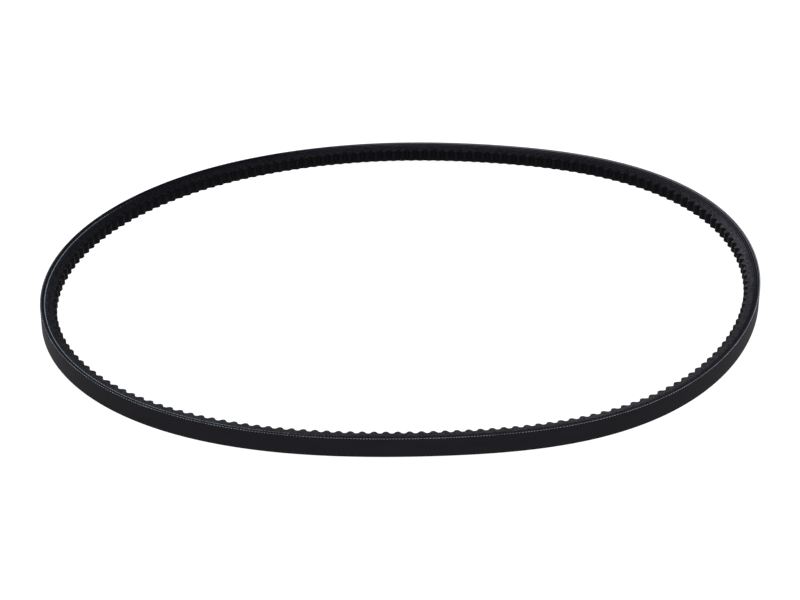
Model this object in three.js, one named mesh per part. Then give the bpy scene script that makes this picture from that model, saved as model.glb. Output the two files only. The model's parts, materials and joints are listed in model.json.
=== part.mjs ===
// A cogged, raw-edge V-belt in its free oval, lying on its side: +Z runs along the pulley axes.
// The belt is an endless laminate of five bonded layers. From the back inwards they are the back
// fabric, the overcord rubber, the tensile cords, the adhesion rubber and the cogged rubber.
// Every layer is divided into the same eleven runs. The runs meet at ten bend lines, which are
// upright lines through the cords, and at one closing joint, where the first and last run meet.
// All sizes are in millimetres.
import * as THREE from 'three';

// Section across the belt. Depth is measured inwards from the back.
const TOP_WIDTH = 13;
const WEDGE_HALF_ANGLE = THREE.MathUtils.degToRad(20);
const LAYER_GAP = 0.25;
const BACK_FABRIC_THICKNESS = 0.7;
const OVERCORD_THICKNESS = 0.8;
const CORD_DIAMETER = 1.1;
const CORD_WINDINGS = 9;
const ADHESION_THICKNESS = 0.7;
const BELT_HEIGHT = 9;
const NOTCH_DEPTH = 2.2;

// Outline of the cord line, as a radius that varies with the angle round the loop.
// Each wave is [count round the loop, cosine share, sine share] of the mean radius.
const MEAN_RADIUS = 183.28;
const OUTLINE_WAVES = [
  [2, 0.1553, 0.0379],
  [3, -0.0064, -0.0184],
  [4, 0.0026, 0.0140],
  [5, -0.0031, 0.0008],
  [6, -0.0019, 0.0021],
];
const CLOSING_JOINT_ANGLE = THREE.MathUtils.degToRad(-91.01);
const OUTLINE_SAMPLES = 36000;

// The free belt is slightly saddle-shaped. Its ends along X lie higher than its long sides, and its
// section leans with it. Each pair is [cosine share, sine share] of twice the angle round the loop.
const SADDLE_RISE = [3.38, -0.19];
const SADDLE_LEAN_DEGREES = [4.13, -0.36];

// Cogs in each run, in order from the closing joint. A run ends in the middle of a notch.
const COGS_PER_RUN = [9, 19, 18, 19, 19, 19, 19, 18, 19, 19, 9];
const COGS_PER_FACET = 3;

// One cog pitch runs from one notch's middle to the next. These are shares of it.
const NOTCH_FLOOR_END = 0.15;
const COG_TIP_START = 0.36;

// Runs keep a slit between them, which widens away from the cords, so they don't meet when bent.
const RUN_SLIT = 0.3;
const LARGEST_BEND = THREE.MathUtils.degToRad(18);

// Depth of each layer, worked out from the thicknesses
const OVERCORD_DEPTH = BACK_FABRIC_THICKNESS + LAYER_GAP;
const CORD_TOP_DEPTH = OVERCORD_DEPTH + OVERCORD_THICKNESS + LAYER_GAP;
const CORD_DEPTH = CORD_TOP_DEPTH + CORD_DIAMETER / 2;
const ADHESION_DEPTH = CORD_TOP_DEPTH + CORD_DIAMETER + LAYER_GAP;
const COG_RUBBER_DEPTH = ADHESION_DEPTH + ADHESION_THICKNESS + LAYER_GAP;
const NOTCH_FLOOR_DEPTH = BELT_HEIGHT - NOTCH_DEPTH;

const COG_COUNT = COGS_PER_RUN.reduce((sum, cogs) => sum + cogs, 0);

function outlinePoint(angle) {
  let radius = MEAN_RADIUS;
  for (const [count, cosine, sine] of OUTLINE_WAVES) {
    radius += MEAN_RADIUS * (cosine * Math.cos(count * angle) + sine * Math.sin(count * angle));
  }
  return new THREE.Vector2(radius * Math.cos(angle), radius * Math.sin(angle));
}

function saddleWave([cosine, sine], angle) {
  return cosine * Math.cos(2 * angle) + sine * Math.sin(2 * angle);
}

// The cord line as closely spaced points, with the distance travelled to each one
const cordLine = [];
const distances = [];
for (let i = 0; i <= OUTLINE_SAMPLES; i += 1) {
  cordLine.push(outlinePoint(CLOSING_JOINT_ANGLE + (2 * Math.PI * i) / OUTLINE_SAMPLES));
  distances.push(i === 0 ? 0 : distances[i - 1] + cordLine[i].distanceTo(cordLine[i - 1]));
}
const CORD_LENGTH = distances[OUTLINE_SAMPLES];
const COG_PITCH = CORD_LENGTH / COG_COUNT;

function sampleAtDistance(distance) {
  let low = 0;
  let high = OUTLINE_SAMPLES;
  while (high - low > 1) {
    const middle = Math.floor((low + high) / 2);
    if (distances[middle] <= distance) {
      low = middle;
    } else {
      high = middle;
    }
  }
  return low;
}

// A station is a point of the cord line with its outward direction, its rise and the lean of the
// section. Place counts cog pitches.
function cordStation(place) {
  const distance = place * COG_PITCH;
  const sample = sampleAtDistance(distance);
  const step = cordLine[sample + 1].clone().sub(cordLine[sample]);
  const share = (distance - distances[sample]) / step.length();
  const point = cordLine[sample].clone().addScaledVector(step, share);
  const outward = new THREE.Vector2(step.y, -step.x).normalize();
  const angle = CLOSING_JOINT_ANGLE + (2 * Math.PI * (sample + share)) / OUTLINE_SAMPLES;
  const rise = saddleWave(SADDLE_RISE, angle);
  const lean = THREE.MathUtils.degToRad(saddleWave(SADDLE_LEAN_DEGREES, angle));
  return { place, point, outward, rise, lean };
}

// Every layer follows the same flat facets, so that the layers stay parallel and clear.
const facetStations = [];
let runStart = 0;
for (const cogs of COGS_PER_RUN) {
  const facets = Math.round(cogs / COGS_PER_FACET);
  for (let i = 0; i < facets; i += 1) {
    facetStations.push(cordStation(runStart + (cogs * i) / facets));
  }
  runStart += cogs;
}
facetStations.push({ ...facetStations[0], place: COG_COUNT });

function beltPoint(place, depth, z) {
  const next = Math.max(1, facetStations.findIndex((station) => station.place >= place));
  const from = facetStations[next - 1];
  const to = facetStations[next];
  const share = (place - from.place) / (to.place - from.place);
  const point = from.point.clone().lerp(to.point, share);
  const outward = from.outward.clone().lerp(to.outward, share);
  const rise = THREE.MathUtils.lerp(from.rise, to.rise, share);
  const lean = THREE.MathUtils.lerp(from.lean, to.lean, share);
  const reach = CORD_DEPTH - depth;
  point.addScaledVector(outward, reach * Math.cos(lean) - z * Math.sin(lean));
  return [point.x, point.y, rise + z * Math.cos(lean) + reach * Math.sin(lean)];
}

function halfWidth(depth) {
  return TOP_WIDTH / 2 - depth * Math.tan(WEDGE_HALF_ANGLE);
}

// A section is a row of columns across the belt, from +Z to -Z. A column joins an outer point to
// an inner one.
function wedgeSection(outerDepth, innerDepth) {
  return [1, -1].map((side) => ({
    outer: { z: side * halfWidth(outerDepth), depth: outerDepth },
    inner: { z: side * halfWidth(innerDepth), depth: innerDepth },
  }));
}

// The cord lies in windings side by side, so the cord layer's faces are ridged.
function cordSection() {
  const edge = halfWidth(CORD_TOP_DEPTH + CORD_DIAMETER);
  const ridge = CORD_DIAMETER / 2;
  const groove = ridge / 2;
  const columns = [];
  for (let i = 0; i <= 2 * CORD_WINDINGS; i += 1) {
    const z = edge * (1 - i / CORD_WINDINGS);
    const reach = i % 2 === 1 ? ridge : groove;
    columns.push({
      outer: { z, depth: CORD_DEPTH - reach },
      inner: { z, depth: CORD_DEPTH + reach },
    });
  }
  return columns;
}

function cogSection(place) {
  const inPitch = place - Math.floor(place);
  const fromNotch = Math.min(inPitch, 1 - inPitch);
  const rise = (fromNotch - NOTCH_FLOOR_END) / (COG_TIP_START - NOTCH_FLOOR_END);
  const innerDepth = NOTCH_FLOOR_DEPTH + NOTCH_DEPTH * THREE.MathUtils.clamp(rise, 0, 1);
  return wedgeSection(COG_RUBBER_DEPTH, innerDepth);
}

function facetPlaces(start, end) {
  return facetStations.map((station) => station.place).filter((place) => place >= start && place <= end);
}

function cogPlaces(start, end) {
  const places = facetPlaces(start, end);
  for (let notch = start; notch < end; notch += 1) {
    for (const share of [NOTCH_FLOOR_END, COG_TIP_START]) {
      places.push(notch + share, notch + 1 - share);
    }
  }
  return [...new Set(places)].sort((a, b) => a - b);
}

// The end faces lean away from the bend line, which runs through the cords.
function keepInRun(place, depth, run) {
  const slit = RUN_SLIT / 2 + Math.abs(depth - CORD_DEPTH) * Math.tan(LARGEST_BEND / 2);
  const margin = slit / COG_PITCH;
  return THREE.MathUtils.clamp(place, run.start + margin, run.end - margin);
}

function sweepRun(sectionAt, places, run) {
  const positions = [];
  const triangles = [];
  for (const place of places) {
    const columns = sectionAt(place);
    const outer = columns.map((column) => column.outer);
    const inner = columns.map((column) => column.inner).reverse();
    for (const { z, depth } of [...outer, ...inner]) {
      positions.push(...beltPoint(keepInRun(place, depth, run), depth, z));
    }
  }
  const ring = 2 * sectionAt(places[0]).length;
  for (let row = 0; row < places.length - 1; row += 1) {
    for (let corner = 0; corner < ring; corner += 1) {
      const a = row * ring + corner;
      const b = row * ring + ((corner + 1) % ring);
      triangles.push(a, b, b + ring, a, b + ring, a + ring);
    }
  }
  const lastRow = (places.length - 1) * ring;
  for (let column = 0; column < ring / 2 - 1; column += 1) {
    const outer = column;
    const inner = ring - 1 - column;
    triangles.push(inner, inner - 1, outer + 1, inner, outer + 1, outer);
    triangles.push(lastRow + outer, lastRow + outer + 1, lastRow + inner - 1);
    triangles.push(lastRow + outer, lastRow + inner - 1, lastRow + inner);
  }
  const geometry = new THREE.BufferGeometry();
  geometry.setAttribute('position', new THREE.Float32BufferAttribute(positions, 3));
  geometry.setIndex(triangles);
  geometry.computeVertexNormals();
  return geometry;
}

const fabric = new THREE.MeshStandardMaterial({ color: 0x2a2a2e, roughness: 0.85, metalness: 0 });
const rubber = new THREE.MeshStandardMaterial({ color: 0x1d1e21, roughness: 0.65, metalness: 0 });
const softRubber = new THREE.MeshStandardMaterial({ color: 0x222427, roughness: 0.6, metalness: 0 });
const cord = new THREE.MeshStandardMaterial({ color: 0x6f7986, roughness: 0.7, metalness: 0 });

const overcordInnerDepth = OVERCORD_DEPTH + OVERCORD_THICKNESS;
const adhesionInnerDepth = ADHESION_DEPTH + ADHESION_THICKNESS;
const layers = [
  {
    name: 'back_fabric',
    sectionAt: () => wedgeSection(0, BACK_FABRIC_THICKNESS),
    placesIn: facetPlaces,
    material: fabric,
  },
  {
    name: 'overcord_rubber',
    sectionAt: () => wedgeSection(OVERCORD_DEPTH, overcordInnerDepth),
    placesIn: facetPlaces,
    material: rubber,
  },
  {
    name: 'tensile_cords',
    sectionAt: cordSection,
    placesIn: facetPlaces,
    material: cord,
  },
  {
    name: 'adhesion_rubber',
    sectionAt: () => wedgeSection(ADHESION_DEPTH, adhesionInnerDepth),
    placesIn: facetPlaces,
    material: softRubber,
  },
  {
    name: 'cog_rubber',
    sectionAt: cogSection,
    placesIn: cogPlaces,
    material: rubber,
  },
];

const belt = new THREE.Group();
const run = { start: 0, end: 0 };
COGS_PER_RUN.forEach((cogs, index) => {
  run.start = run.end;
  run.end += cogs;
  const runGroup = new THREE.Group();
  for (const layer of layers) {
    const places = layer.placesIn(run.start, run.end);
    const mesh = new THREE.Mesh(sweepRun(layer.sectionAt, places, run), layer.material);
    mesh.name = `${layer.name}_${String(index + 1).padStart(2, '0')}`;
    runGroup.add(mesh);
  }
  belt.add(runGroup);
});

// The origin is the middle of the belt's box.
const middle = new THREE.Box3().setFromObject(belt).getCenter(new THREE.Vector3());
belt.position.copy(middle).negate();

export default belt;
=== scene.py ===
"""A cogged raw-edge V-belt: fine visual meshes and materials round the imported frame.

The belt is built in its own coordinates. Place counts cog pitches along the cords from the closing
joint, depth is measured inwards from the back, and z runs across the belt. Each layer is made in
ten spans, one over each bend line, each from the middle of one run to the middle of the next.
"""

import json
import math

import bpy
import numpy as np
from mathutils import Matrix, Vector


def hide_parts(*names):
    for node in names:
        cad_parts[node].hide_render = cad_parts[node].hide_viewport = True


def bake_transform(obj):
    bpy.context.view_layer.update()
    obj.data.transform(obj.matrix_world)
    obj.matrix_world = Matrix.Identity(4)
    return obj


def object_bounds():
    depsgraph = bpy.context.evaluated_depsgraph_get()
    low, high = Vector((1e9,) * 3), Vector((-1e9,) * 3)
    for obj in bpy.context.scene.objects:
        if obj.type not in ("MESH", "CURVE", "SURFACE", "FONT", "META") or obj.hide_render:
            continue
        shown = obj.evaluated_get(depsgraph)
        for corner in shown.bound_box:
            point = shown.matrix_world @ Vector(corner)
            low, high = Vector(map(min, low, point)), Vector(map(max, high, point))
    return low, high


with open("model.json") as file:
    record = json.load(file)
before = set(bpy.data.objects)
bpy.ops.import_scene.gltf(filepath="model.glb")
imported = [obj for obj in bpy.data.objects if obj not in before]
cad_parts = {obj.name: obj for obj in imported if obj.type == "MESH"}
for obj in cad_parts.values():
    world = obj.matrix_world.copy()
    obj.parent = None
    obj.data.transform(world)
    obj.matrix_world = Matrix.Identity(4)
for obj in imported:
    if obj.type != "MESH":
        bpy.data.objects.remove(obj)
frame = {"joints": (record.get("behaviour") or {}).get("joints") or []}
cad_low, cad_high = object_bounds()

# ---------------------------------------------------------------- driving sizes, in metres
MM = 0.001

# The section is 0.4 mm wider and higher than the CAD's, only because that matches the photo better.
TOP_WIDTH = 13.4 * MM
FLANK_SLOPE = math.tan(math.radians(20))
BELT_HEIGHT = 9.4 * MM
NOTCH_DEPTH = 2.2 * MM
CORD_DEPTH = 2.55 * MM
CORD_RADIUS = 0.55 * MM
YARN_RADIUS = 0.36 * MM
CORD_WINDINGS = 9

# How far the cut winding's line strays in depth, once up and once down in a turn of the loop
CORD_WANDER = 0.35 * MM

# Where these happen round the loop, as a share of one turn from the closing joint: the flank's
# deepest cut into the cord, the start of the cord line's stray, and the places where the cut bares
# the most and the least thread. A painted highlight falls on the flanks at the first of these two, and
# painted shade at the second.
DEEPEST_CUT_TURN = 0.82
CORD_WANDER_TURN = 0.77
MOST_BARED_AND_HIGHLIT_TURN = 0.40
LEAST_BARED_AND_SHADED_TURN = 0.65

# Where each layer starts, as a depth. A narrow groove shows between two layers.
OVERCORD_START = 1.2 * MM
CORDS_START = 2.0 * MM
ADHESION_START = 3.3 * MM
COGS_START = 4.2 * MM
LAYER_GROOVE = 0.04 * MM

# The outline of the cord line: mean radius, and waves of (count, cosine share, sine share)
MEAN_RADIUS = 183.28 * MM
OUTLINE_WAVES = (
    (2, 0.1553, 0.0379),
    (3, -0.0064, -0.0184),
    (4, 0.0026, 0.0140),
    (5, -0.0031, 0.0008),
    (6, -0.0019, 0.0021),
)
CLOSING_JOINT_ANGLE = math.radians(-91.01)
OUTLINE_SAMPLES = 36000
COGS_PER_RUN = (9, 19, 18, 19, 19, 19, 19, 18, 19, 19, 9)
COG_COUNT = sum(COGS_PER_RUN)

# The belt is slightly saddle-shaped: how far it rises, and how its section leans with that. Each
# pair is (cosine share, sine share) of twice the angle round the loop.
SADDLE_RISE = (3.38 * MM, -0.19 * MM)
SADDLE_LEAN = (math.radians(4.13), math.radians(-0.36))

# A cog's shape, as shares of one pitch from the middle of a notch
NOTCH_FLOOR_END = 0.08
COG_TIP_START = 0.43

# Edges and small relief
BACK_CORNER_RADIUS = 0.25 * MM
BACK_CORNER_DEGREES = (-90, -65, -40, -15, 10)
FRAYED_FROM_DEGREES = -20
CHAMFER = 0.12 * MM
CHAMFER_WIDTH = 0.7 * CHAMFER
THREADS_PER_PITCH = 4
THREAD_RELIEF = 0.05 * MM
THREAD_DEPTHS = (0.32 * MM, 0.43 * MM, 0.54 * MM)
MOST_BARED_REACH = 1.9
CORD_RELIEF = 0.05 * MM
CORD_STRANDS_PER_PITCH = 3
CORD_STRAND_SHARE = 0.35
CORD_STRAND_SLANT = 2.5

# The cut winding's bead, in its own radii: its points reach a little past the yarn's edge.
BEAD_POINTS = 12
BEAD_REACH = 1.1
YARN_EDGE = 0.9
THINNEST_BEAD = 0.1

SHARP_EDGE = math.radians(38)

# In cog pitches: it keeps the two ends at the closing joint just apart.
CLOSING_GAP = 0.0016


# ---------------------------------------------------------------- the cord line
def outline(angle):
    """Points of the cord line at these angles round the loop, before it is centred."""
    radius = np.full_like(angle, MEAN_RADIUS)
    for count, cosine, sine in OUTLINE_WAVES:
        radius += MEAN_RADIUS * (cosine * np.cos(count * angle) + sine * np.sin(count * angle))
    return np.column_stack((radius * np.cos(angle), radius * np.sin(angle)))


def saddle(shares, angle):
    """A wave with two crests and two troughs round the loop."""
    return shares[0] * np.cos(2 * angle) + shares[1] * np.sin(2 * angle)


ANGLES = CLOSING_JOINT_ANGLE + np.linspace(0, 2 * math.pi, OUTLINE_SAMPLES + 1)
LINE = outline(ANGLES)
RISE_AND_LEAN = np.column_stack((saddle(SADDLE_RISE, ANGLES), saddle(SADDLE_LEAN, ANGLES)))
LENGTHS = np.concatenate(([0], np.cumsum(np.linalg.norm(np.diff(LINE, axis=0), axis=1))))
CORD_LENGTH = LENGTHS[-1]
COG_PITCH = CORD_LENGTH / COG_COUNT
TANGENTS = np.roll(LINE[:-1], -1, axis=0) - np.roll(LINE[:-1], 1, axis=0)
TANGENTS = np.vstack((TANGENTS, TANGENTS[:1]))
TANGENTS /= np.linalg.norm(TANGENTS, axis=1)[:, None]


def along(samples, place):
    """Values sampled along the cord line, read at these places."""
    distance = np.mod(place, COG_COUNT) * COG_PITCH
    return np.column_stack([np.interp(distance, LENGTHS, column) for column in samples.T])


# The first bend line in the frame fixes where the outline lies.
first_bend = np.array(frame["joints"][0]["pos_m"][:2])
CENTRING = first_bend - along(LINE, np.array([COGS_PER_RUN[0]]))[0]


def outward_at(place):
    tangent = along(TANGENTS, place)
    return np.column_stack((tangent[:, 1], -tangent[:, 0]))


def belt_points(place, depth, z):
    """Points in the frame, from flat arrays of place, depth and z."""
    rise, lean = along(RISE_AND_LEAN, place).T
    reach = CORD_DEPTH - depth
    outwards = reach * np.cos(lean) - z * np.sin(lean)
    point = along(LINE, place) + CENTRING + outward_at(place) * outwards[:, None]
    return np.column_stack((point, rise + z * np.cos(lean) + reach * np.sin(lean)))


# ---------------------------------------------------------------- sections
# A section's half runs from the middle of its outer face, over one flank, to the middle of its
# inner face. It is a list of (depth, distance from the middle, bare textile from 0 to 1), and each
# number may be an array with one value for each place. Side is 1 for the upper half and -1 for the
# lower one.
def half_width(depth):
    return TOP_WIDTH / 2 - depth * FLANK_SLOPE


WINDING_SPACING = 2 * half_width(CORD_DEPTH) / CORD_WINDINGS


def on_flank(depth, proud=0.0, textile=0.0):
    return (depth, half_width(depth) + proud, textile)


def straight_across(depth, first, last, steps):
    """Points on one depth, from first towards last, without the last one."""
    return [(depth, first + (last - first) * i / steps, 0.0) for i in range(steps)]


def layer_corner(depth, inwards):
    """A layer's corner beside a groove. Inwards is 1 at its outer face and -1 at its inner one."""
    corner = [(depth, half_width(depth) - LAYER_GROOVE, 0.0), on_flank(depth + inwards * LAYER_GROOVE)]
    return corner[::inwards]


def bared_share(place):
    """How strongly the cut bares the threads at each place, from 0 to 1."""
    return np.clip(2 * np.cos(2 * math.pi * (place / COG_COUNT - MOST_BARED_AND_HIGHLIT_TURN)) - 1, 0, 1)


def fabric_section(place, side):
    """The back fabric: a rounded rim, then the cut threads, which stand out a little.

    Where the threads are bared most, they reach deeper, and the rim outside them is plain rubber.
    Elsewhere they fray over the last part of the rim.
    """
    thread = 0.5 + 0.5 * np.sin(2 * math.pi * THREADS_PER_PITCH * place + side)
    centre = (BACK_CORNER_RADIUS, half_width(BACK_CORNER_RADIUS) - BACK_CORNER_RADIUS)
    bared = bared_share(place)
    rounded = []
    for degrees in BACK_CORNER_DEGREES:
        angle = math.radians(degrees)
        depth = centre[0] + BACK_CORNER_RADIUS * math.sin(angle)
        frayed = (1 - bared) * (degrees > FRAYED_FROM_DEGREES)
        rounded.append((depth, centre[1] + BACK_CORNER_RADIUS * math.cos(angle), frayed))
    reach = 1 + (MOST_BARED_REACH - 1) * bared
    threads = [on_flank(THREAD_DEPTHS[0] * reach - LAYER_GROOVE / 4, 0.0, 1 - bared)]
    threads += [on_flank(depth * reach, THREAD_RELIEF * thread, 1.0) for depth in THREAD_DEPTHS]
    threads.append(on_flank(THREAD_DEPTHS[-1] * reach + LAYER_GROOVE))
    inner = OVERCORD_START - LAYER_GROOVE / 2
    face = straight_across(depth=0, first=0, last=rounded[0][1], steps=10)
    return face + rounded + threads + layer_corner(inner, -1) + [(inner, 0, 0.0)]


def slab_section(start, end):
    """A plain layer between these depths."""
    low, high = start + LAYER_GROOVE / 2, end - LAYER_GROOVE / 2
    flank = layer_corner(low, 1) + [on_flank((low + high) / 2)] + layer_corner(high, -1)
    return lambda place, side: [(low, 0, 0.0)] + flank + [(high, 0, 0.0)]


def cut_share(place, side):
    """How wide the flank cuts the outermost winding, as a share of the cord's diameter.

    The cord is one helix, so in one turn it moves across the belt by one winding. It comes up to
    the upper flank, is cut through and ends there, and it does the reverse at the lower flank.
    """
    turn = place / COG_COUNT if side > 0 else 1 - place / COG_COUNT
    below_surface = WINDING_SPACING * (DEEPEST_CUT_TURN - turn)
    return np.sqrt(np.clip(1 - (below_surface / YARN_RADIUS) ** 2, 0, 1))


def cords_section(place, side):
    """Windings side by side. The outermost one, where the flank cuts it, stands a little proud."""
    low, high = CORDS_START + LAYER_GROOVE / 2, ADHESION_START - LAYER_GROOVE / 2
    outer, inner = [(low, 0, 0.0)], [(high, 0, 0.0)]
    for i in range(CORD_WINDINGS // 2):
        between, crest = (i + 0.5) * WINDING_SPACING, (i + 1) * WINDING_SPACING
        outer += [(CORD_DEPTH - CORD_RADIUS / 2, between, 0.0), (low, crest, 0.0)]
        inner += [(CORD_DEPTH + CORD_RADIUS / 2, between, 0.0), (high, crest, 0.0)]
    share = cut_share(place, side)
    reach = np.clip(share, THINNEST_BEAD, 1) * YARN_RADIUS
    wander_turn = place / COG_COUNT - CORD_WANDER_TURN
    centre = CORD_DEPTH + CORD_WANDER * np.sin(2 * math.pi * wander_turn)
    bead = []
    for step in np.linspace(-BEAD_REACH, BEAD_REACH, BEAD_POINTS):
        strand = np.sin(2 * math.pi * CORD_STRANDS_PER_PITCH * place + CORD_STRAND_SLANT * step)
        crown = max(0.0, 1 - step**2) * share
        height = CORD_RELIEF * crown * (1 + CORD_STRAND_SHARE * strand)
        bead.append(on_flank(centre + reach * step, height, share * (abs(step) < YARN_EDGE)))
    flank = [on_flank(low + LAYER_GROOVE)] + bead + [on_flank(high - LAYER_GROOVE)]
    return outer + flank + inner[::-1]


def cog_rise(place):
    """How far the cog face stands in from the notch floor, from 0 to 1."""
    share = np.mod(place, 1)
    share = np.minimum(share, 1 - share)
    rise = np.clip((share - NOTCH_FLOOR_END) / (COG_TIP_START - NOTCH_FLOOR_END), 0, 1)
    return rise * rise * (3 - 2 * rise)


def cog_section(place, side):
    """The cogged rubber, whose inner face rises from the notches to the cog tips."""
    face = BELT_HEIGHT - NOTCH_DEPTH * (1 - cog_rise(place))
    low = COGS_START + LAYER_GROOVE / 2
    flank_start, flank_end = low + LAYER_GROOVE, face - CHAMFER
    flank = [on_flank(flank_start + (flank_end - flank_start) * i / 5) for i in range(1, 6)]
    face_edge = half_width(face) - CHAMFER_WIDTH
    return (
        [(low, 0, 0.0)]
        + layer_corner(low, 1)
        + flank
        + straight_across(face, first=face_edge, last=0, steps=5)
        + [(face, 0, 0.0)]
    )


# ---------------------------------------------------------------- spans
run_starts = np.concatenate(([0], np.cumsum(COGS_PER_RUN)))
span_ends = (run_starts[:-1] + run_starts[1:]) / 2
span_ends[0], span_ends[-1] = CLOSING_GAP, COG_COUNT - CLOSING_GAP
SPAN_COUNT = len(COGS_PER_RUN) - 1


def swept_rings(section, places):
    """The section at each place, as an array of (place, ring point, [depth, z, textile])."""
    halves = []
    for side in (1, -1):
        points = section(places, side)
        half = np.array([[np.broadcast_to(value, places.shape) for value in point] for point in points])
        half[:, 1] *= side
        halves.append(half)
    ring = np.concatenate((halves[0], halves[1][-2:0:-1]))
    return ring.transpose(2, 0, 1)


def ring_faces(ring_count, ring_size):
    """Quads between neighbouring rings, and a flat cap on each end."""
    here = np.arange(ring_size)
    after = np.roll(here, -1)
    faces = []
    for row in range(ring_count - 1):
        base, next_base = row * ring_size, (row + 1) * ring_size
        quads = np.column_stack((base + here, next_base + here, next_base + after, base + after))
        faces += quads.tolist()
    last = (ring_count - 1) * ring_size
    return faces + [here.tolist(), (last + here[::-1]).tolist()]


def write_attributes(mesh, place, rings):
    """What the materials read, all fixed to the rubber.

    Lane is place, depth and z. Loop is the same belt as a plain circle, so that noise has no seam.
    Flank is 1 on the cut sides, and textile is 1 where bare thread or cord shows.
    """
    depth, z, textile = rings.reshape(-1, 3).T
    turn = 2 * math.pi * place / COG_COUNT
    loop_radius = CORD_LENGTH / (2 * math.pi) / MM
    flank = np.abs(np.abs(z) - half_width(depth)) < 2 * LAYER_GROOVE
    lane = np.column_stack((place, depth / MM, z / MM))
    loop = np.column_stack((loop_radius * np.cos(turn), loop_radius * np.sin(turn), z / MM))
    for name, values in (("lane", lane), ("loop", loop)):
        attribute = mesh.attributes.new(name, "FLOAT_VECTOR", "POINT")
        attribute.data.foreach_set("vector", values.astype(np.float32).ravel())
    for name, values in (("flank", flank), ("textile", textile)):
        attribute = mesh.attributes.new(name, "FLOAT", "POINT")
        attribute.data.foreach_set("value", values.astype(np.float32))


def bend_zone(number):
    """Where a span's bending would start and end, so its end rings could each follow one run; nothing
    bends them.
    """
    ends = span_ends[number - 1 : number + 1]
    corners = []
    for depth in (0, BELT_HEIGHT):
        for z in (half_width(depth), -half_width(depth)):
            corners.append(belt_points(ends, np.full(2, depth), np.full(2, z)))
    line_ends = belt_points(ends, np.full(2, CORD_DEPTH), np.zeros(2))
    direction = line_ends[1] - line_ends[0]
    direction /= np.linalg.norm(direction)
    from_start = max((corner[0] - line_ends[0]) @ direction for corner in corners)
    from_end = min((corner[1] - line_ends[1]) @ direction for corner in corners)
    return line_ends[0] + direction * from_start, line_ends[1] + direction * from_end


def make_span(layer, number, section, stations, material):
    """One span of a layer: a closed mesh from the middle of one run to the middle of the next."""
    start, end = span_ends[number - 1 : number + 1]
    places = np.linspace(start, end, round((end - start) * stations) + 1)
    rings = swept_rings(section, places)
    ring_size = rings.shape[1]
    place = np.repeat(places, ring_size)
    depth, z = rings[:, :, 0].ravel(), rings[:, :, 1].ravel()
    mesh = bpy.data.meshes.new(f"{layer}_span_{number:02d}")
    mesh.from_pydata(belt_points(place, depth, z), [], ring_faces(len(places), ring_size))
    mesh.polygons.foreach_set("use_smooth", [True] * len(mesh.polygons))
    mesh.set_sharp_from_angle(angle=SHARP_EDGE)
    write_attributes(mesh, place, rings)
    mesh.materials.append(material)
    piece = bpy.data.objects.new(mesh.name, mesh)
    bpy.context.scene.collection.objects.link(piece)
    zone_start, zone_end = bend_zone(number)
    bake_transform(piece)
    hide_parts(f"{layer}_{number:02d}")
    if number == SPAN_COUNT:
        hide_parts(f"{layer}_{number + 1:02d}")


# ---------------------------------------------------------------- materials
class Finish:
    """A procedural material, with short calls that add nodes to it."""

    def __init__(self, name):
        self.material = bpy.data.materials.new(name)
        self.material.use_nodes = True
        self.tree = self.material.node_tree
        self.surface = self.tree.nodes["Principled BSDF"]
        lane = self.node("ShaderNodeSeparateXYZ")
        self.feed(lane.inputs[0], self.attribute("lane", "Vector"))
        self.place, self.depth, self.z = lane.outputs
        self.loop = self.attribute("loop", "Vector")
        self.flank = self.attribute("flank", "Fac")
        self.textile = self.attribute("textile", "Fac")

    def node(self, kind, **settings):
        node = self.tree.nodes.new(kind)
        for name, value in settings.items():
            setattr(node, name, value)
        return node

    def feed(self, socket, value):
        if isinstance(value, bpy.types.NodeSocket):
            self.tree.links.new(value, socket)
        else:
            socket.default_value = value

    def attribute(self, name, output):
        return self.node("ShaderNodeAttribute", attribute_name=name).outputs[output]

    def math(self, operation, *values):
        node = self.node("ShaderNodeMath", operation=operation)
        for socket, value in zip(node.inputs, values):
            self.feed(socket, value)
        return node.outputs[0]

    def between(self, share, low, high):
        """A number from low to high, as share goes from 0 to 1."""
        node = self.node("ShaderNodeMix", data_type="FLOAT")
        self.feed(node.inputs[0], share)
        self.feed(node.inputs[2], low)
        self.feed(node.inputs[3], high)
        return node.outputs[0]

    def step(self, value, low, high):
        """0 where value is under low, 1 where it is over high, and smooth between them."""
        node = self.node("ShaderNodeMapRange", interpolation_type="SMOOTHSTEP")
        for socket, fed in zip(node.inputs, (value, low, high, 0.0, 1.0)):
            self.feed(socket, fed)
        return node.outputs[0]

    def colour(self, share, low, high):
        """A colour from low to high, as share goes from 0 to 1."""
        node = self.node("ShaderNodeMix", data_type="RGBA")
        self.feed(node.inputs[0], share)
        self.feed(node.inputs[6], low)
        self.feed(node.inputs[7], high)
        return node.outputs[2]

    def noise(self, per_mm, stretch=1.0, detail=2.0, roughness=0.5):
        """Noise with this many grains in a millimetre, drawn out along the belt by stretch.

        It is seamless round the loop, because it is read on a circle as long as the belt.
        """
        scaled = self.node("ShaderNodeVectorMath", operation="MULTIPLY")
        self.feed(scaled.inputs[0], self.loop)
        self.feed(scaled.inputs[1], (per_mm / stretch, per_mm / stretch, per_mm))
        texture = self.node("ShaderNodeTexNoise", noise_dimensions="4D")
        self.feed(texture.inputs["Vector"], scaled.outputs[0])
        self.feed(texture.inputs["W"], self.math("MULTIPLY", self.depth, per_mm))
        self.feed(texture.inputs["Scale"], 1.0)
        self.feed(texture.inputs["Detail"], detail)
        self.feed(texture.inputs["Roughness"], roughness)
        return texture.outputs["Fac"]

    def finish(self, colour, roughness, height, relief, shine):
        """Connects the surface. Relief is the height of the bumps in metres."""
        bump = self.node("ShaderNodeBump")
        self.feed(bump.inputs["Height"], height)
        self.feed(bump.inputs["Distance"], relief)
        self.feed(bump.inputs["Strength"], 1.0)
        self.feed(self.surface.inputs["Base Color"], colour)
        self.feed(self.surface.inputs["Roughness"], roughness)
        self.feed(self.surface.inputs["Normal"], bump.outputs[0])
        self.feed(self.surface.inputs["Specular IOR Level"], shine)
        return self.material


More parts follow.
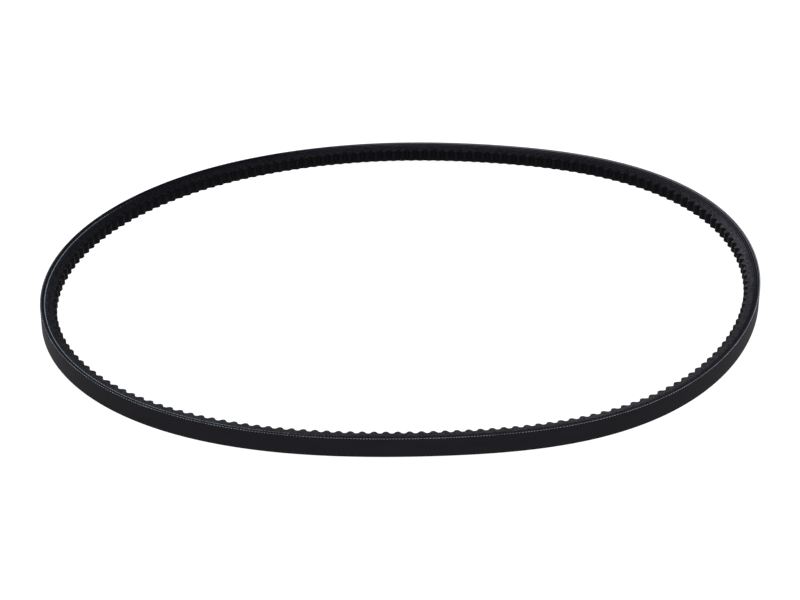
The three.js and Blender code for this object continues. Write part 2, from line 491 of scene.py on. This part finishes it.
FABRIC_DARK, FABRIC_LIGHT = (0.0082, 0.0072, 0.0108, 1), (0.0118, 0.0106, 0.0148, 1)
THREAD_AND_HIGHLIGHT_GREY = (0.42, 0.45, 0.46, 1)
CUT_DARK, CUT_LIGHT = (0.0022, 0.0022, 0.0038, 1), (0.0056, 0.0056, 0.0086, 1)
FIBRE_GREY = (0.040, 0.039, 0.045, 1)
MOULDED_BLACK = (0.0066, 0.0060, 0.0084, 1)
OVERCORD_DARK, OVERCORD_LIGHT = (0.0044, 0.0048, 0.0076, 1), (0.0120, 0.0130, 0.0186, 1)
BONDING_TEAL = (0.0130, 0.0160, 0.0220, 1)
CORD_BLUE, CORD_PALE = (0.115, 0.165, 0.185, 1), (0.320, 0.390, 0.400, 1)
WEAVE_ROWS_PER_PITCH = 9
WEAVE_ROWS_PER_MM = 1.0

# The pale cut threads: what each thing adds to the share that shows. The last two also paint light:
# a highlight round one stretch of the loop and shade round another.
THREAD_BY_THREAD = 0.32
WHERE_MOST_BARED_AND_HIGHLIT = 0.15
WHERE_COVERED_AND_SHADED = -0.4

# The painted highlight's pale lines are waves over the depth, in radians for each millimetre. They
# wander up and down by some radians. The twist of the cord's strands is given in the same way.
HIGHLIGHT_LINE_WAVES = 5.2
HIGHLIGHT_LINE_WANDER = 3.0
HIGHLIGHT_LINE_START = -1.0
CORD_TWIST_WAVES = 5.0
HIGHLIGHT_OVER_CORD = 0.25


def nearness(finish, turn):
    """1 at this share of the way round the loop, and down to -1 on the far side of it."""
    here = finish.math("MULTIPLY", finish.place, 2 * math.pi / COG_COUNT)
    return finish.math("COSINE", finish.math("SUBTRACT", here, 2 * math.pi * turn))


def cut_threads_and_painted_light(finish):
    """How much pale thread shows, from 0 to 1. The cut bares more in some places than in others.

    Round one stretch of the loop the share is also raised as a painted highlight, and round another it
    is lowered as painted shade.
    """
    lay = finish.math("MULTIPLY", finish.place, 2 * math.pi * THREADS_PER_PITCH)
    threads = finish.math("SINE", finish.math("MULTIPLY_ADD", finish.noise(0.12), 9.0, lay))
    # Paler round one stretch of the loop as a painted highlight, duller round another as painted shade
    covered_and_shaded = finish.step(nearness(finish, LEAST_BARED_AND_SHADED_TURN), 0.7, 0.95)
    shown = finish.math("MULTIPLY_ADD", threads, THREAD_BY_THREAD, finish.noise(0.25, stretch=2))
    most_bared_and_highlit = nearness(finish, MOST_BARED_AND_HIGHLIT_TURN)
    shown = finish.math("MULTIPLY_ADD", most_bared_and_highlit, WHERE_MOST_BARED_AND_HIGHLIT, shown)
    shown = finish.math("MULTIPLY_ADD", covered_and_shaded, WHERE_COVERED_AND_SHADED, shown)
    return finish.math("MULTIPLY", finish.textile, finish.step(shown, 0.1, 0.8))


def painted_highlight_lines(finish):
    """A painted highlight: fine pale lines along the cut rubber, round the stretch that is most bared.
    """
    wander = finish.noise(0.3, stretch=12)
    phase = finish.math("MULTIPLY_ADD", wander, HIGHLIGHT_LINE_WANDER, HIGHLIGHT_LINE_START)
    wave = finish.math("MULTIPLY_ADD", finish.depth, HIGHLIGHT_LINE_WAVES, phase)
    lines = finish.math("SINE", wave)
    # Kept to one stretch of the loop: this is a painted highlight
    place = finish.step(nearness(finish, MOST_BARED_AND_HIGHLIT_TURN), 0.35, 0.85)
    return finish.math("MULTIPLY", finish.step(lines, 0.6, 1.0), place)


def back_fabric():
    """A square weave laid on the bias, soaked in rubber, with pale threads along its cut edges."""
    finish = Finish("rubberised_fabric")
    along_belt = finish.math("MULTIPLY", finish.place, WEAVE_ROWS_PER_PITCH)
    across_belt = finish.math("MULTIPLY", finish.z, WEAVE_ROWS_PER_MM)
    yarns = []
    for operation in ("ADD", "SUBTRACT"):
        phase = finish.math(operation, along_belt, across_belt)
        yarns.append(finish.math("SINE", finish.math("MULTIPLY", phase, math.pi)))
    weave = finish.math("MULTIPLY", *yarns)
    weave = finish.math("MULTIPLY_ADD", weave, 0.5, 0.5)
    blotches = finish.noise(0.12, stretch=4)
    streaks = finish.noise(2.2, stretch=30, detail=3)
    grain = finish.noise(7, detail=3)
    shade = finish.math("MULTIPLY_ADD", streaks, 0.5, finish.math("MULTIPLY", blotches, 0.5))
    colour = finish.colour(finish.step(shade, 0.3, 0.7), FABRIC_DARK, FABRIC_LIGHT)
    # The pale thread line, with painted highlight and painted shade round two stretches of the loop
    colour = finish.colour(cut_threads_and_painted_light(finish), colour, THREAD_AND_HIGHLIGHT_GREY)
    roughness = finish.between(grain, 0.62, 0.9)
    height = finish.math("MULTIPLY_ADD", weave, 0.6, finish.math("MULTIPLY", grain, 0.4))
    surface = finish.surface.inputs
    finish.feed(surface["Sheen Weight"], 0.04)
    finish.feed(surface["Sheen Roughness"], 0.35)
    finish.feed(surface["Sheen Tint"], (1.0, 0.95, 0.9, 1))
    return finish.finish(colour, roughness, height, relief=0.05 * MM, shine=0.1)


def rubber_colour(finish, grain, dark, light):
    """The colour of cut rubber, and its grind marks.

    Fine marks run along the belt, and there are specks where short fibres are cut.
    """
    marks = finish.noise(3.5, stretch=40, detail=3, roughness=0.6)
    fibres = finish.noise(4.5, detail=1)
    mottle = finish.noise(1.3, stretch=1.5, detail=2)
    shade = finish.math("MULTIPLY_ADD", marks, 0.35, finish.math("MULTIPLY", mottle, 0.65))
    colour = finish.colour(finish.step(shade, 0.35, 0.65), dark, light)
    specks = finish.math("MULTIPLY", finish.step(fibres, 0.6, 0.75), grain)
    return finish.colour(specks, colour, FIBRE_GREY), marks


def cut_rubber(name, dark, light, shine, roughness, highlight_weight=0.0):
    """A rubber layer with cut flanks. Its other faces are as moulded, like the cogs.

    The last argument sets how strongly a painted highlight, fine pale lines on the flanks, shows in it.
    """
    finish = Finish(name)
    grain = finish.noise(9, detail=3)
    cut, marks = rubber_colour(finish, grain, dark, light)
    if highlight_weight:
        # Painted highlight: pale lines on the cut flanks round one stretch of the loop
        cut = finish.colour(finish.math("MULTIPLY", painted_highlight_lines(finish), highlight_weight), cut, THREAD_AND_HIGHLIGHT_GREY)
    skin = finish.noise(0.8, detail=3)
    colour = finish.colour(finish.flank, MOULDED_BLACK, cut)
    moulded_roughness = finish.between(skin, 0.45, 0.65)
    roughness = finish.between(finish.flank, moulded_roughness, roughness)
    cut_height = finish.math("MULTIPLY_ADD", marks, 0.6, finish.math("MULTIPLY", grain, 0.4))
    height = finish.between(finish.flank, skin, cut_height)
    patches = finish.step(finish.noise(0.9, stretch=1.5, detail=3), 0.35, 0.65)
    shine = finish.between(finish.flank, 0.04, finish.between(patches, 0.5 * shine, 1.5 * shine))
    return finish.finish(colour, roughness, height, relief=0.04 * MM, shine=shine)


def cut_cord():
    """Rubber with the cut winding in it: blue-grey twisted yarn, paler where it is frayed."""
    finish = Finish("twisted_cord")
    grain = finish.noise(9, detail=3)
    rubber, _ = rubber_colour(finish, grain, OVERCORD_DARK, BONDING_TEAL)
    # Painted highlight: pale lines on the cut flank round one stretch of the loop
    drawn = finish.math("MULTIPLY", painted_highlight_lines(finish), HIGHLIGHT_OVER_CORD)
    rubber = finish.colour(drawn, rubber, THREAD_AND_HIGHLIGHT_GREY)
    fibres = finish.noise(6, stretch=6, detail=2)
    lay = finish.math("MULTIPLY", finish.place, 2 * math.pi * CORD_STRANDS_PER_PITCH)
    twist = finish.math("MULTIPLY_ADD", finish.depth, CORD_TWIST_WAVES, lay)
    strands = finish.math("SINE", twist)
    frayed = finish.step(finish.math("MULTIPLY_ADD", strands, 0.12, fibres), 0.35, 0.75)
    yarn = finish.colour(frayed, CORD_BLUE, CORD_PALE)
    shown = finish.step(finish.math("MULTIPLY_ADD", fibres, 0.3, finish.textile), 1.0, 1.1)
    colour = finish.colour(shown, rubber, yarn)
    height = finish.math("MULTIPLY_ADD", strands, 0.25, fibres)
    roughness = finish.between(shown, 0.6, 0.85)
    return finish.finish(colour, roughness, height, relief=0.05 * MM, shine=0.012)


def plain_finish(name, colour, glow):
    """The floor's finish: pale and even, with a light of its own that keeps it white."""
    material = bpy.data.materials.new(name)
    material.use_nodes = True
    surface = material.node_tree.nodes["Principled BSDF"].inputs
    surface["Base Color"].default_value = colour
    surface["Roughness"].default_value = 1
    surface["Specular IOR Level"].default_value = 0
    surface["Emission Color"].default_value = (1, 1, 1, 1)
    surface["Emission Strength"].default_value = glow
    return material


fabric = back_fabric()
overcord = cut_rubber(
    "overcord_rubber", OVERCORD_DARK, OVERCORD_LIGHT, shine=0.012, roughness=0.6, highlight_weight=0.7
)
bonding = cut_rubber(
    "adhesion_rubber", OVERCORD_DARK, BONDING_TEAL, shine=0.035, roughness=0.5, highlight_weight=0.1
)
rubber = cut_rubber("belt_rubber", CUT_DARK, CUT_LIGHT, shine=0.056, roughness=0.38)
cord = cut_cord()

# Each layer's section, stations per cog pitch, material and the record's material slot
LAYERS = (
    ("back_fabric", fabric_section, 16, fabric, "back_fabric"),
    ("overcord_rubber", slab_section(OVERCORD_START, CORDS_START), 8, overcord, "belt_rubber"),
    ("tensile_cords", cords_section, 12, cord, "tensile_cord"),
    ("adhesion_rubber", slab_section(ADHESION_START, COGS_START), 8, bonding, "adhesion_rubber"),
    ("cog_rubber", cog_section, 20, rubber, "belt_rubber"),
)
for layer, section, stations, material, slot in LAYERS:
    for number in range(1, SPAN_COUNT + 1):
        make_span(layer, number, section, stations, material)

# ---------------------------------------------------------------- floor, light and camera
FLOOR_REACH = 30.0
FLOOR_GAP = 0.05 * MM
FLOOR_COLOUR = (0.3, 0.3, 0.3, 1)
FLOOR_GLOW = 0.97
WORLD_LIGHT = 0.3
COOL_LIGHT = (0.97, 0.95, 1.10)
SOFTBOX_SIZE = 0.4

floor_mesh = bpy.data.meshes.new("floor")
floor_z = cad_low.z - FLOOR_GAP
floor_signs = ((-1, -1), (1, -1), (1, 1), (-1, 1))
corners = [(x * FLOOR_REACH, y * FLOOR_REACH, floor_z) for x, y in floor_signs]
floor_mesh.from_pydata(corners, [], [(0, 1, 2, 3)])
floor_mesh.materials.append(plain_finish("pale_floor", FLOOR_COLOUR, FLOOR_GLOW))
floor = bpy.data.objects.new("floor", floor_mesh)
bpy.context.scene.collection.objects.link(floor)

world = bpy.data.worlds.new("studio")
world.use_nodes = True
world.node_tree.nodes["Background"].inputs["Color"].default_value = (1, 1, 1, 1)
world.node_tree.nodes["Background"].inputs["Strength"].default_value = WORLD_LIGHT
bpy.context.scene.world = world


def soft_light(name, power, location):
    """A square softbox that points at the belt's middle."""
    light = bpy.data.lights.new(name, "AREA")
    light.size = SOFTBOX_SIZE
    light.energy = power
    light.color = COOL_LIGHT
    lamp = bpy.data.objects.new(name, light)
    lamp.location = location
    lamp.rotation_euler = (-Vector(location)).to_track_quat("-Z", "Y").to_euler()
    bpy.context.scene.collection.objects.link(lamp)


soft_light("left_rear_softbox", power=14, location=(-0.50, 1.25, 0.90))
soft_light("high_rear_softbox", power=1.8, location=(-0.15, 1.00, 1.30))
soft_light("low_rear_softbox", power=4.5, location=(0.50, 1.28, 0.24))

# The camera looks at a point near the belt's middle from in front and above.
CAMERA_ELEVATION = math.radians(35.29)
CAMERA_DISTANCE = 0.8926
CAMERA_TARGET = Vector((-0.0030, -0.0277, 0))
CAMERA_ROLL = math.radians(0.49)
CAMERA_LENS = 67.23
SENSOR_WIDTH = 36

back = Vector((0, -math.cos(CAMERA_ELEVATION), math.sin(CAMERA_ELEVATION)))
camera_data = bpy.data.cameras.new("camera")
camera_data.lens = CAMERA_LENS
camera_data.sensor_width = SENSOR_WIDTH
camera_data.clip_start = 0.01
camera = bpy.data.objects.new("camera", camera_data)
turned = (-back).to_track_quat("-Z", "Y").to_matrix().to_4x4() @ Matrix.Rotation(CAMERA_ROLL, 4, "Z")
camera.matrix_world = Matrix.Translation(CAMERA_TARGET + back * CAMERA_DISTANCE) @ turned
bpy.context.scene.collection.objects.link(camera)
bpy.context.scene.camera = camera
bpy.context.scene.view_settings.view_transform = "Standard"
